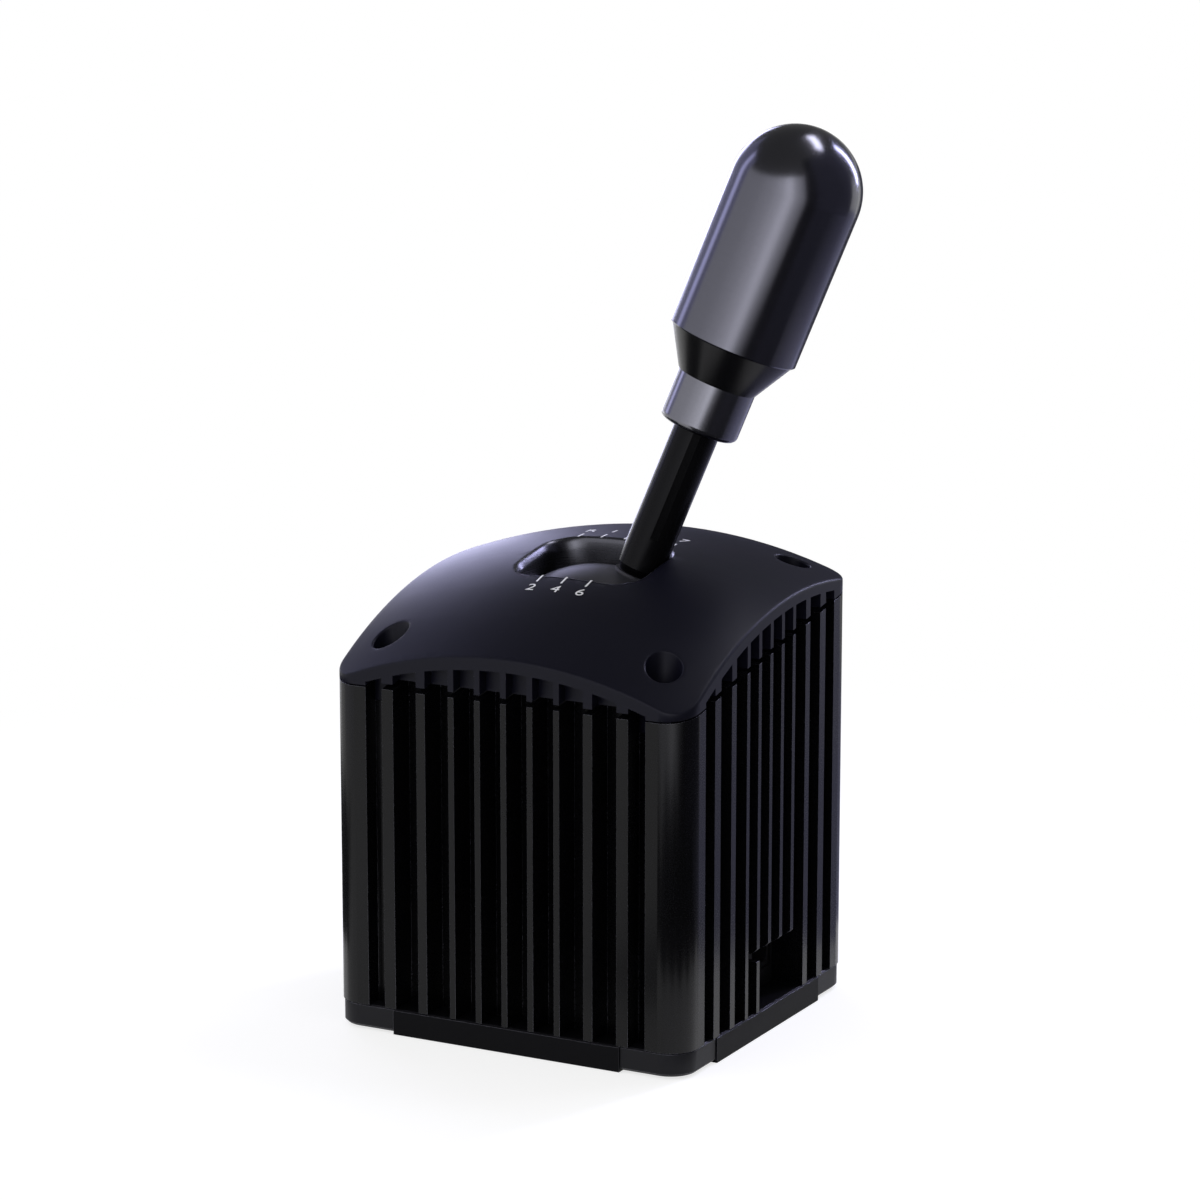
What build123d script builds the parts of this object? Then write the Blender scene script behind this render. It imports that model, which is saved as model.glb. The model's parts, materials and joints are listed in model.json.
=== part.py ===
"""A gear shifter for driving games: ribbed box, domed cap, stick on a two-axis pivot and knob.

Millimetres. Z is up, X runs along the front face to the right, Y runs to the back.
The origin is the centre of the underside, on the surface that the shifter stands on.
The stick is drawn in seventh gear: right column, far row.
"""

import os
from math import cos, radians, sin, sqrt, tan

from build123d import *

# Body outline
body_width = 120.0
body_depth = 113.0
corner_radius = 9.0
base_height = 8.0
seam_tilt = 10.3
seam_gap = 0.5
overrun = 1.0

# Ribs and slots of the four faces, counted from the middle of a face outwards
corner_column = 13.0
slot_depth = 9.5
inner_wall = 2.5
thin_rib = 1.9
middle_rib = 3.0
wide_rib = 3.8
rib_widths = (thin_rib, thin_rib, thin_rib, middle_rib, wide_rib)
front_rib_shares = (0.0, 0.188, 0.377, 0.598, 0.840)
side_rib_shares = (0.0, 0.177, 0.354, 0.575, 0.816)

# Corner screws, from above and from below on the same four axes
screw_inset_x = 14.1
screw_inset_y = 13.7
boss_radius = 8.0
fit_gap = 0.2
face_gap = 0.15

# Cap
cap_rise = 23.5
crown_setback = 2.4
skirt_gap = 1.2
dome_radius_x = 170.0
dome_radius_y = 157.0
cap_wall = 5.0
cap_slot_depth = 4.0
cap_band = 3.5
cap_edge_round = 1.0
cap_corner_round = 0.6
spigot_depth = 8.0
spigot_web = 3.5
cap_head_radius = 5.0
cap_head_gap = 0.35
cap_head_height = 6.0
cap_screw_radius = 3.0
cap_screw_length = 16.0
hex_key = 5.0
hex_depth = 3.0

# Gate opening in the cap
gate_side_room = 0.2
gate_end_room = 3.8
gate_radius = 10.0
gate_edge_round = 0.8
lip_wall = 3.5

# Pivot of the stick, and where the stick stands
pivot_height = 103.0
seam_over_pivot = 4.3
select_rest = 20.0
shift_rest = 9.0
column_step = 10.0

# Base plate and the pads in its corners
pad_size = 21.5
pad_gap = 0.3
pad_inset = 0.4
pad_lift = 0.6
pad_wall = 5.0
pad_chamfer = 0.8
web_thickness = 3.0
base_chamfer = 0.5
base_head_radius = 4.4
base_head_height = 2.4
base_head_sink = 0.3
base_screw_radius = 2.5
base_screw_length = 18.0
small_key = 3.0
small_key_depth = 1.4
mount_spacing_x = 80.0
mount_spacing_y = 60.0
mount_hole_radius = 2.5
bore_gap = 0.05

# Port window in the right face, with its panel and sockets
window_room = 0.4
window_round = 4.0
stub_gap = 2.0
panel_lap = 3.0
panel_flange = 2.0
panel_face = 1.5
socket_wall = 1.35
socket_roof = 3.6
socket_length = 14.0
socket_gap = 2.5
plug_width = 9.8
plug_height = 6.8
socket_back = 2.0
socket_lift = 1.6

# Main board
board_thickness = 1.6
board_lift = 4.0
board_length_x = 40.0
board_room = 3.5
standoff_radius = 2.8
standoff_inset = 4.0
chip_size = 12.0
chip_height = 1.2
board_screw_radius = 1.25
board_head_radius = 2.4
board_head_height = 1.5

# Upright frame plates
frame_wall_gap = 0.4
frame_thickness = 5.0
frame_half_width = 32.0
frame_eye_wall = 6.0
frame_shoulder = 22.0
frame_window_half = 15.0
frame_window_shares = (0.23, 0.85)
frame_window_round = 3.0
foot_reach = 9.0
foot_height = 10.0
foot_screw_x = 24.0
foot_screw_radius = 2.0
foot_screw_length = 11.0
foot_head_radius = 3.6
foot_head_height = 4.0
foot_head_sink = 0.4

# Select axis: bearings, shafts, stop blocks and spring
select_bearing_radius = 8.0
select_shaft_radius = 4.0
running_gap = 0.03
bearing_race = 1.2
bearing_groove = 0.3
shaft_collar_radius = 5.6
shaft_collar_length = 0.8
shaft_end_gap = 0.3
bumper_inset = 1.0
bumper_width = 6.0
bumper_thickness = 5.0
bumper_reach = 8.0
stop_gap = 0.3
spring_coil_radius = 6.0
spring_wire_radius = 0.55
spring_turns = 1.5

# Cradle
cradle_side_wall = 8.0
cradle_end_wall = 8.0
cradle_end_gap = 3.5
cradle_half_z = 8.5
cradle_corner = 5.0
shift_bearing_radius = 6.0
shift_bearing_width = 4.0
cradle_bore_radius = 4.2

# Shift axle, hub and what sits on the axle
axle_radius = 3.0
hub_half_x = 10.0
hub_half_y = 11.0
hub_half_z = 12.0
hub_chamfer = 2.0
spacer_radius = 5.0
spacer_length = 3.0
spacer_gap = 0.2
axle_stand = 2.5
axle_tail = 0.6
clip_radius = 4.8
clip_thickness = 0.8
cam_gap = 0.6
cam_width = 6.0
cam_radius = 16.0
cam_hub_radius = 7.5
cam_half_angle = 26.0
notch_radius = 1.3
notch_depth = 0.9

# Detent bracket, plunger, spring and adjuster
bracket_thickness = 3.0
bracket_half_y = 16.0
bracket_hole_radius = 7.2
bracket_foot_gap = 2.0
bracket_foot_height = 16.0
bracket_foot_half_y = 6.0
bracket_screw_y = 12.0
bracket_screw_z = 3.0
bracket_screw_radius = 1.5
bracket_screw_length = 7.0
bracket_head_radius = 2.7
bracket_head_height = 0.9
plunger_radius = 2.4
plunger_nose_radius = 1.2
plunger_gap = 0.3
plunger_length = 6.5
adjuster_length = 3.5
detent_wire_radius = 0.35
detent_turns = 5

# Magnets and sensor boards
magnet_radius = 2.5
magnet_length = 1.5
sensor_board = 1.2
sensor_half = 10.0
sensor_boss_radius = 2.0
sensor_edge = 0.4
sensor_boss_length = 1.6
sensor_screw_radius = 0.9
sensor_head_radius = 1.8
sensor_head_height = 0.8
shift_board_half_y = 11.0
shift_board_gap = 0.8

# Stick, dust shield and lower lever, measured from the pivot along the stick
stick_radius = 7.1
stick_foot_gap = 0.2
stick_foot_radius = 5.6
stick_foot_bevel = 2.4
neck_radius = 5.0
tenon_bottom = 5.0
groove_width = 2.4
groove_depth = 1.2
groove_start = 48.0
groove_turn = 27.0
stick_thread_radius = 5.0
shield_drop = 3.0
shield_thickness = 1.5
shield_half_angle = 64.0
shield_gap = 1.2
shield_seat_radius = 7.0
shield_seat_height = 1.1
shield_clip_radius = 8.0
shield_clip_thickness = 1.5
lever_radius = 4.0
lever_end = 44.0
lever_bore_depth = 18.0
finger_radius = 2.2
finger_length = 18.0
finger_gap = 0.4
finger_wire_radius = 0.35
finger_turns = 6
finger_reach = 8.0

# Knob
knob_rim = 111.3
knob_joint = 0.1
grip_length = 49.0
knob_radius = 20.15
knob_rim_chamfer = 0.4
knob_core_radius = 12.0
knob_core_floor = 2.0
knob_core_roof = 2.3
cone_height = 12.3
cone_lip = 0.85
collar_height = 15.5
collar_radius = 12.3
collar_round = 2.0
collar_screw_radius = 2.0
collar_screw_rise = 6.6
insert_radius = 8.0
insert_depth = 14.7
insert_seat = 3.9
thread_end = 2.0

# Gate plate
gate_block_half_x = 26.0
gate_block_height = 12.0
gate_floor = 2.6
gate_track_half = 2.8
gate_track_depth = 4.0
gate_screw_x = 18.0
gate_screw_radius = 2.0
gate_screw_length = 12.0
gate_head_radius = 3.6
gate_head_height = 2.4

# Worked out from the values above
half_width = body_width / 2
half_depth = body_depth / 2
slot_zone_x = half_width - corner_column
slot_zone_y = half_depth - corner_column
wall_total = slot_depth + inner_wall
cavity_half_x = half_width - wall_total
cavity_half_y = half_depth - wall_total
seam_front_height = pivot_height + seam_over_pivot
seam_centre_height = seam_front_height + half_depth * tan(radians(seam_tilt))
blank = 2 * body_width + cap_rise
screw_x = half_width - screw_inset_x
screw_y = half_depth - screw_inset_y
counterbore_radius = cap_head_radius + cap_head_gap
base_head_recess = base_head_height + base_head_sink
foot_head_recess = foot_head_height + foot_head_sink
crown_height = seam_centre_height + cap_rise
crown_reach = crown_height - pivot_height
side_lean = radians(select_rest)
end_lean = radians(shift_rest)
gate_width = 2 * (crown_reach * tan(side_lean) + stick_radius / cos(side_lean) + gate_side_room)
gate_depth = 2 * (crown_reach * tan(end_lean) + stick_radius / cos(end_lean) + gate_end_room)
sensor_stack = sensor_boss_length + sensor_board + sensor_head_height
frame_back = cavity_half_y - sensor_stack - frame_wall_gap
frame_face = frame_back - frame_thickness
frame_head_radius = select_bearing_radius + frame_eye_wall
sensor_boss_place = sensor_half - sensor_boss_radius - sensor_edge
cradle_half_y = frame_face - cradle_end_gap
cradle_window_y = cradle_half_y - cradle_end_wall
cradle_window_x = hub_half_x + spacer_length
cradle_half_x = cradle_window_x + cradle_side_wall
bumper_high_x = cradle_half_x - bumper_inset
bumper_low_x = bumper_high_x - bumper_width
axle_left = cradle_half_x + axle_stand
board_length_y = 2 * (frame_face - foot_reach - board_room)
board_floor = base_height + board_lift
board_top = board_floor + board_thickness
socket_width = plug_width + 2 * socket_wall
socket_height = socket_lift + plug_height + socket_roof
socket_pitch = socket_width + socket_gap
plug_reach = socket_length - socket_back
window_top = board_top + socket_height + window_room
stub_top = window_top - stub_gap
finger_tip = lever_end + finger_reach
bowl_radius = finger_tip + finger_gap
gate_block_low = pivot_height - bowl_radius - gate_track_depth - gate_floor
gate_block_top = gate_block_low + gate_block_height
cam_near = cradle_half_x + bracket_thickness + cam_gap
cam_far = cam_near + cam_width
cam_middle = (cam_near + cam_far) / 2
stick_spring_top = lever_end - lever_bore_depth
finger_top = finger_tip - finger_length
axle_right = cam_far + clip_thickness + axle_tail
bracket_foot_top = cam_radius + bracket_foot_gap
bracket_foot_low = bracket_foot_top + bracket_foot_height
plunger_top = cam_radius + plunger_gap
plunger_shoulder = bracket_foot_top + plunger_gap
plunger_bottom = plunger_shoulder + plunger_length
adjuster_top = bracket_foot_low - adjuster_length
shield_radius = crown_reach - shield_drop
shield_seat_bottom = shield_radius - shield_thickness - shield_seat_height
stick_foot = shield_radius + stick_foot_gap
knob_crown = knob_rim + grip_length
cone_top = knob_rim - knob_joint
cone_top_radius = knob_radius - cone_lip
collar_top = cone_top - cone_height
collar_bottom = collar_top - collar_height
collar_screw_height = collar_bottom + collar_screw_rise
insert_top = knob_rim + insert_depth
stick_shoulder = collar_top - insert_seat
stick_top = insert_top - thread_end
knob_core_low = insert_top + knob_core_floor
knob_core_high = knob_crown - knob_core_roof

FLOOR = (Align.CENTER, Align.CENTER, Align.MIN)
CEILING = (Align.CENTER, Align.CENTER, Align.MAX)
ALONG_X = Rot(0, 90, 0)
ALONG_Y = Rot(-90, 0, 0)
SEAM = Pos(0, 0, seam_centre_height) * Rot(seam_tilt, 0, 0)
PIVOT = Pos(0, 0, pivot_height)
CRADLE = PIVOT * Rot(0, select_rest, 0)
STICK = CRADLE * Rot(-shift_rest, 0, 0)
CORNERS = {
    "front_left": (-1, -1),
    "front_right": (1, -1),
    "rear_left": (-1, 1),
    "rear_right": (1, 1),
}


def rod(radius, low, high):
    """Upright round bar between two heights."""
    return Pos(0, 0, low) * Cylinder(radius, high - low, align=FLOOR)


def ring(outer, inner, low, high):
    """Upright tube between two heights."""
    return rod(outer, low, high) - rod(inner, low, high)


def block(x0, x1, y0, y1, z0, z1):
    """Square block between two places on each axis."""
    middle = Pos((x0 + x1) / 2, (y0 + y1) / 2, (z0 + z1) / 2)
    return middle * Box(x1 - x0, y1 - y0, z1 - z0)


def rounded_prism(width, depth, radius, low, high):
    """Upright block with rounded corners between two heights."""
    outline = Plane.XY.offset(low) * RectangleRounded(width, depth, radius)
    return extrude(outline, amount=high - low)


def body_prism(inset, low, high):
    """The outline of the body, drawn in by an inset."""
    radius = max(corner_radius - inset, corner_radius / 4)
    return rounded_prism(body_width - 2 * inset, body_depth - 2 * inset, radius, low, high)


def seam_height(y):
    """Height of the tilted seam above a place on the Y axis."""
    return seam_centre_height + y * tan(radians(seam_tilt))


def below_seam(drop):
    """Everything under the seam plane, lowered by a drop."""
    return SEAM * Pos(0, 0, -drop) * Box(blank, blank, blank, align=CEILING)


def dome(sink, lowered):
    """Solid under the crowned top face: a barrel lying along X, in the tilted frame."""
    arc_radius = dome_radius_x - sink
    crown = cap_rise - sink - lowered
    axis_height = cap_rise - dome_radius_y - lowered
    reach = body_width
    side = crown - arc_radius + sqrt(arc_radius**2 - reach**2)
    top = ThreePointArc((-reach, side), (0, crown), (reach, side))
    rest = Polyline((reach, side), (reach, axis_height), (-reach, axis_height), (-reach, side))
    face = Plane.XZ * make_face([top, rest])
    barrel = revolve(face, axis=Axis((0, 0, axis_height), (1, 0, 0)))
    return SEAM * Pos(0, crown_setback, 0) * barrel


def slot_spans(zone, shares):
    """Low and high edge of each slot between the ribs, over one half of a face."""
    centres = [zone * share for share in shares]
    spans = []
    for i, centre in enumerate(centres):
        low = centre + rib_widths[i] / 2
        last = i + 1 == len(centres)
        high = zone if last else centres[i + 1] - rib_widths[i + 1] / 2
        spans.append((low, high))
    return spans


def slot_cutters(depth, low, high):
    """One block for each slot of all four faces."""
    cutters = []
    for a, b in slot_spans(slot_zone_x, front_rib_shares):
        for side in (-1, 1):
            for end in (-1, 1):
                x0, x1 = sorted((side * a, side * b))
                y0, y1 = sorted((end * (half_depth - depth), end * (half_depth + overrun)))
                cutters.append(block(x0, x1, y0, y1, low, high))
    for a, b in slot_spans(slot_zone_y, side_rib_shares):
        for side in (-1, 1):
            for end in (-1, 1):
                y0, y1 = sorted((side * a, side * b))
                x0, x1 = sorted((end * (half_width - depth), end * (half_width + overrun)))
                cutters.append(block(x0, x1, y0, y1, low, high))
    return cutters


def at_corners(make):
    """A piece made for each corner screw axis; make takes the height of the seam there."""
    pieces = []
    for side_x, side_y in CORNERS.values():
        place = Pos(side_x * screw_x, side_y * screw_y, 0)
        pieces.append(place * make(seam_height(side_y * screw_y)))
    return pieces


def socket_screw(head_radius, head_height, radius, length, key, key_depth):
    """Socket-head screw pointing down, its head standing on height zero."""
    screw = rod(head_radius, 0, head_height) + rod(radius, -length, 0)
    key_hole = extrude(RegularPolygon(key / 2, 6, major_radius=False), amount=key_depth)
    return screw - Pos(0, 0, head_height - key_depth) * key_hole


def coil(radius, wire, low, high, turns):
    """Compression spring between two heights, with room for its wire at both ends."""
    height = high - low - 2 * wire
    path = Helix(pitch=height / turns, height=height, radius=radius)
    section = Plane(origin=path @ 0, z_dir=path % 0) * Circle(wire)
    return Pos(0, 0, low + wire) * sweep(section, path=path, is_frenet=True)


def window_span():
    """Front and rear edge of the port window: from the fourth rib to the eighth one."""
    front = -slot_zone_y * side_rib_shares[1] + thin_rib / 2
    rear = slot_zone_y * side_rib_shares[3] - middle_rib / 2
    return front, rear


def housing():
    """Ribbed box, open at both ends, with round screw bosses in its corners."""
    top = seam_height(half_depth) + overrun
    body = body_prism(0, base_height, top)
    body -= body_prism(wall_total, base_height - overrun, top + overrun)
    body -= slot_cutters(slot_depth, base_height - overrun, top + overrun)
    body += at_corners(lambda seam: rod(boss_radius, base_height, top))
    body &= below_seam(0)
    fins = body_prism(-overrun, base_height, top) - body_prism(slot_depth, base_height, top)
    body -= fins - below_seam(seam_gap)
    pocket = boss_radius + fit_gap
    body -= at_corners(lambda seam: rod(pocket, seam - spigot_depth - fit_gap, top + overrun))
    screw_bore = cap_screw_radius + bore_gap
    body -= at_corners(lambda seam: rod(screw_bore, seam - spigot_depth - cap_screw_length, seam))
    low_bore = base_screw_radius + bore_gap
    low_bore_top = base_height + base_screw_length
    body -= at_corners(lambda seam: rod(low_bore, base_height - overrun, low_bore_top))
    return body - port_window()


def port_window():
    """Cutter for the port window, with the drawn-in rib ends above it and one rib stub left."""
    front, rear = window_span()
    inner = cavity_half_x - overrun
    face = half_width + overrun
    low = base_height - overrun
    bend = half_width - window_round
    high = window_top + window_round
    profile = Polyline((bend, window_top), (inner, window_top), (inner, low), (face, low), (face, high))
    bend_arc = RadiusArc((face, high), (bend, window_top), window_round + overrun)
    outline = Plane.XZ * make_face([profile, bend_arc])
    fourth_rib = front - thin_rib
    cut = Pos(0, rear, 0) * extrude(outline, amount=rear - fourth_rib)
    return cut - block(inner, half_width, fourth_rib, front, low, stub_top)


def top_cap():
    """Domed cap with a ribbed skirt, deep gate opening and four counterbored screw holes."""
    top = seam_centre_height + cap_rise + body_depth * tan(radians(seam_tilt))
    low = seam_front_height - spigot_depth - overrun
    skin = body_prism(0, low, top) & dome(0, 0)
    cap = skin - below_seam(0)
    cap = fillet(crown_face(cap).edges(), cap_edge_round)
    hollow = body_prism(wall_total, low - overrun, top) & dome(cap_wall, 0)
    cap -= hollow
    slots = Part() + slot_cutters(cap_slot_depth, low, top)
    cap -= slots & dome(0, cap_band)
    cap -= skirt_clearance(low, top)
    lip_low = pivot_height + sqrt((shield_radius + shield_gap) ** 2 - (gate_width / 2) ** 2) - lip_wall
    lip = rounded_prism(
        gate_width + 2 * lip_wall, gate_depth + 2 * lip_wall, gate_radius + lip_wall, lip_low, top
    )
    cap += lip & dome(cap_wall / 2, 0)
    bosses = at_corners(lambda seam: rod(boss_radius, seam - spigot_depth, top))
    cap += (Part() + bosses) & dome(cap_wall / 2, 0)
    opening = rounded_prism(gate_width, gate_depth, gate_radius, low, top)
    cap -= opening
    cap -= PIVOT * Sphere(shield_radius + shield_gap)
    cap -= at_corners(lambda seam: rod(counterbore_radius, seam - spigot_depth + spigot_web, top))
    hole = cap_screw_radius + bore_gap
    cap -= at_corners(lambda seam: rod(hole, seam - spigot_depth - overrun, top))
    rims = crown_face(cap).inner_wires().sort_by(SortBy.LENGTH)
    cap = fillet(rims[-1].edges(), gate_edge_round)
    rims = crown_face(cap).inner_wires().sort_by(SortBy.LENGTH)
    return fillet([edge for rim in rims[:-1] for edge in rim.edges()], cap_corner_round)


def skirt_clearance(low, high):
    """Cutter that lifts the ribbed skirt of the cap clear of the ribs and slots under it."""
    skirt = body_prism(-overrun, low, high) - body_prism(slot_depth, low - overrun, high + overrun)
    across = block(-slot_zone_x, slot_zone_x, -half_depth - overrun, half_depth + overrun, low, high)
    along = block(-half_width - overrun, half_width + overrun, -slot_zone_y, slot_zone_y, low, high)
    return skirt & (across + along) & below_seam(-skirt_gap)


def crown_face(cap):
    """The crowned top face, which is the largest one."""
    return cap.faces().sort_by(SortBy.AREA)[-1]


def cap_screws():
    """Four socket-head screws deep in the counterbores of the cap."""
    screw = socket_screw(
        cap_head_radius, cap_head_height, cap_screw_radius, cap_screw_length, hex_key, hex_depth
    )
    return Part() + at_corners(lambda seam: Pos(0, 0, seam - spigot_depth + spigot_web) * screw)


def corner_square(side_x, side_y, size, low, high):
    """Block over one corner of the outline, square in plan."""
    x0, x1 = sorted((side_x * (half_width - size), side_x * (half_width + overrun)))
    y0, y1 = sorted((side_y * (half_depth - size), side_y * (half_depth + overrun)))
    return block(x0, x1, y0, y1, low, high)


def base_plate():
    """Plus-shaped plate with thin webs over the corner pads."""
    plate = body_prism(0, 0, base_height)
    edges = plate.edges().filter_by_position(Axis.Z, base_height, base_height)
    plate = chamfer(edges, base_chamfer)
    for side_x, side_y in CORNERS.values():
        plate -= corner_square(side_x, side_y, pad_size, -overrun, base_height + overrun)
        web = body_prism(pad_wall, base_height - web_thickness, base_height)
        plate += web & corner_square(side_x, side_y, pad_size, 0, base_height)
    plate -= at_corners(lambda seam: rod(base_screw_radius + bore_gap, 0, base_height))
    for side_x in (-1, 1):
        for side_y in (-1, 1):
            mount = Pos(side_x * mount_spacing_x / 2, side_y * mount_spacing_y / 2, 0)
            plate -= mount * rod(mount_hole_radius, -overrun, base_height + overrun)
    plate -= at_feet(rod(foot_screw_radius + bore_gap, 0, base_height + overrun))
    plate -= at_feet(rod(foot_head_radius + fit_gap, -overrun, foot_head_recess))
    standoff = rod(standoff_radius, base_height, board_floor)
    plate += at_board_corners(standoff)
    plate -= at_board_corners(rod(board_screw_radius, base_height / 2, board_floor))
    return plate


def at_feet(piece):
    """Copies of a piece on the screw axes of the frame feet."""
    y = frame_face - foot_reach / 2
    return [
        Pos(side_x * foot_screw_x, side_y * y, 0) * piece for side_x in (-1, 1) for side_y in (-1, 1)
    ]


def board_middle():
    """Middle of the main board in plan: its right edge lies at the port panel."""
    return cavity_half_x - panel_flange - board_length_x / 2 - fit_gap, 0


def at_board_corners(piece):
    """Copies of a piece on the screw axes of the main board."""
    x, y = board_middle()
    left = x - board_length_x / 2 + standoff_inset
    right = socket_face() - socket_length - board_head_radius - fit_gap
    reach_y = board_length_y / 2 - standoff_inset
    return [Pos(px, y + side * reach_y, 0) * piece for px in (left, right) for side in (-1, 1)]


def corner_pad(side_x, side_y):
    """Pad that fills one corner of the base plate, cut to pass over the web of the plate."""
    pad = body_prism(pad_inset, pad_lift, base_height)
    bottom = pad.edges().filter_by_position(Axis.Z, pad_lift, pad_lift)
    pad = chamfer(bottom, pad_chamfer)
    top = pad.edges().filter_by_position(Axis.Z, base_height, base_height)
    pad = chamfer(top, base_chamfer)
    pad &= corner_square(side_x, side_y, pad_size - pad_gap, pad_lift, base_height)
    pad -= body_prism(pad_wall - fit_gap, base_height - web_thickness, base_height + overrun)
    axis = Pos(side_x * screw_x, side_y * screw_y, 0)
    pad -= axis * rod(base_screw_radius + bore_gap, 0, base_height)
    return pad - axis * rod(base_head_radius + fit_gap, 0, pad_lift + base_head_recess)


def base_screws():
    """Four low-head screws up through pads and plate into the corner bosses."""
    screw = socket_screw(
        base_head_radius,
        base_head_height,
        base_screw_radius,
        base_screw_length,
        small_key,
        small_key_depth,
    )
    upward = Rot(180, 0, 0) * screw
    return Part() + at_corners(lambda seam: Pos(0, 0, pad_lift + base_head_recess) * upward)


def socket_places():
    """Y places of the two data sockets in the port window."""
    front, rear = window_span()
    middle = (front + rear) / 2
    return middle - socket_pitch / 2, middle + socket_pitch / 2


def socket_floor():
    """Height of the plug opening's floor."""
    return board_top + socket_lift


def socket_face():
    """X place of the open face of the data sockets."""
    return cavity_half_x + panel_face / 2


def port_panel():
    """Panel behind the port window, with one hole for each data socket."""
    front, rear = window_span()
    flange = block(
        cavity_half_x - panel_flange,
        cavity_half_x,
        front - panel_lap,
        rear + panel_lap,
        base_height,
        window_top + panel_lap,
    )
    face = block(
        cavity_half_x,
        cavity_half_x + panel_face,
        front + face_gap,
        rear - face_gap,
        base_height + face_gap,
        window_top - face_gap,
    )
    panel = flange + face
    for y in socket_places():
        panel -= block(
            cavity_half_x - panel_flange,
            cavity_half_x + panel_face,
            y - socket_width / 2 - fit_gap,
            y + socket_width / 2 + fit_gap,
            board_top,
            board_top + socket_height + fit_gap,
        )
    return panel


def data_socket(y):
    """Square data socket on the main board, open to the right."""
    face = socket_face()
    body = block(
        face - socket_length,
        face,
        y - socket_width / 2,
        y + socket_width / 2,
        board_top,
        board_top + socket_height,
    )
    floor = socket_floor()
    mouth = block(
        face - plug_reach, face + overrun, y - plug_width / 2, y + plug_width / 2, floor, floor + plug_height
    )
    latch = block(
        face - plug_reach,
        face + overrun,
        y - plug_width / 4,
        y + plug_width / 4,
        floor + plug_height,
        board_top + socket_height - socket_lift / 2,
    )
    return body - mouth - latch


def main_board():
    """Board on four standoffs, with its processor."""
    x, y = board_middle()
    board = Pos(x, y, board_floor) * Box(board_length_x, board_length_y, board_thickness, align=FLOOR)
    board += Pos(x - chip_size / 2, y, board_top) * Box(chip_size, chip_size, chip_height, align=FLOOR)
    return board - at_board_corners(rod(board_screw_radius + bore_gap, board_floor, board_top))


def board_screws():
    """Four small screws of the main board."""
    screw = rod(board_head_radius, 0, board_head_height) + rod(board_screw_radius, -board_lift, 0)
    return Part() + at_board_corners(Pos(0, 0, board_top) * screw)


def frame_plate(end):
    """Upright plate with a foot and a bearing seat; end is -1 in front and 1 at the back."""
    shoulder = pivot_height - frame_head_radius - frame_shoulder
    points = [
        (-frame_half_width, base_height),
        (frame_half_width, base_height),
        (frame_half_width, base_height + foot_height),
        (frame_head_radius, shoulder),
        (frame_head_radius, pivot_height),
        (-frame_head_radius, pivot_height),
        (-frame_head_radius, shoulder),
        (-frame_half_width, base_height + foot_height),
    ]
    outline = Polygon(*points, align=None) + Pos(0, pivot_height) * Circle(frame_head_radius)
    sill = base_height + foot_height
    low, high = [sill + share * (gate_block_low - sill) for share in frame_window_shares]
    window_corner = min(frame_window_round, (high - low) / 3)
    window = RectangleRounded(2 * frame_window_half, high - low, window_corner)
    outline -= Pos(0, (low + high) / 2) * window
    plate = Pos(0, frame_thickness, 0) * extrude(Plane.XZ * outline, amount=frame_thickness)
    plate = Pos(0, frame_face, 0) * plate
    plate += block(
        -frame_half_width,
        frame_half_width,
        frame_face - foot_reach,
        frame_face,
        base_height,
        base_height + foot_height,
    )
    plate -= PIVOT * ALONG_Y * rod(select_bearing_radius, frame_face - overrun, frame_back + overrun)
    if end < 0:
        plate = plate.mirror(Plane.XZ)
    else:
        plate += at_sensor_bosses(ALONG_Y * rod(sensor_boss_radius, frame_back, sensor_seat()))
    plate -= at_feet(rod(foot_screw_radius + bore_gap, 0, base_height + foot_height - fit_gap))
    return plate - at_gate_screws(ALONG_Y * rod(gate_screw_radius + bore_gap, frame_face, frame_back))


def sensor_seat():
    """Y place where the select sensor board lies on its bosses."""
    return frame_back + sensor_boss_length


def at_sensor_bosses(piece):
    """Copies of a piece round the select axis, where the sensor board is held."""
    place = sensor_boss_place
    return [PIVOT * Pos(a * place, 0, b * place) * piece for a in (-1, 1) for b in (-1, 1)]


def frame_screws():
    """Four screws up through the base plate into the feet of the frame plates."""
    screw = socket_screw(
        foot_head_radius,
        foot_head_height,
        foot_screw_radius,
        foot_screw_length,
        small_key,
        small_key_depth,
    )
    return Part() + at_feet(Pos(0, 0, foot_head_recess) * Rot(180, 0, 0) * screw)


def gate_plate():
    """Plate with the gear pattern cut as grooves into a bowl about the pivot."""
    plate = block(
        -gate_block_half_x, gate_block_half_x, -frame_face, frame_face, gate_block_low, gate_block_top
    )
    plate -= PIVOT * Sphere(bowl_radius)
    track = bowl_radius + gate_track_depth
    slot_end = finger_tip * sin(radians(shift_rest)) + gate_track_half
    neutral = ALONG_Y * rod(track, -gate_track_half, gate_track_half)
    cuts = [PIVOT * (neutral & neutral_wedge(track))]
    last = round(select_rest / column_step)
    for column in range(-last, last + 1):
        near = 0 if abs(column) == last else -slot_end
        lane = block(-gate_track_half, gate_track_half, near, slot_end, -track, -track / 2)
        cuts.append(PIVOT * Rot(0, column * column_step, 0) * lane)
    plate -= cuts
    bore = ALONG_Y * rod(gate_screw_radius + bore_gap, frame_back - gate_screw_length, frame_back)
    return plate - at_gate_screws(bore)


def at_gate_screws(piece):
    """Copies of a piece on the two screw axes at each end of the gate plate."""
    height = (gate_block_low + gate_block_top) / 2
    places = [Pos(side * gate_screw_x, 0, height) for side in (-1, 1)]
    return [place * copy for place in places for copy in (piece, piece.mirror(Plane.XZ))]


def neutral_wedge(reach):
    """Downward sector that the neutral groove covers, from the first column to the last."""
    half_angle = radians(select_rest) + gate_track_half / bowl_radius
    x = reach * tan(half_angle)
    sector = Plane.XZ * make_face(Polyline((0, 0), (x, -reach), (-x, -reach), (0, 0)))
    return Pos(0, frame_face, 0) * extrude(sector, amount=2 * frame_face)


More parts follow.
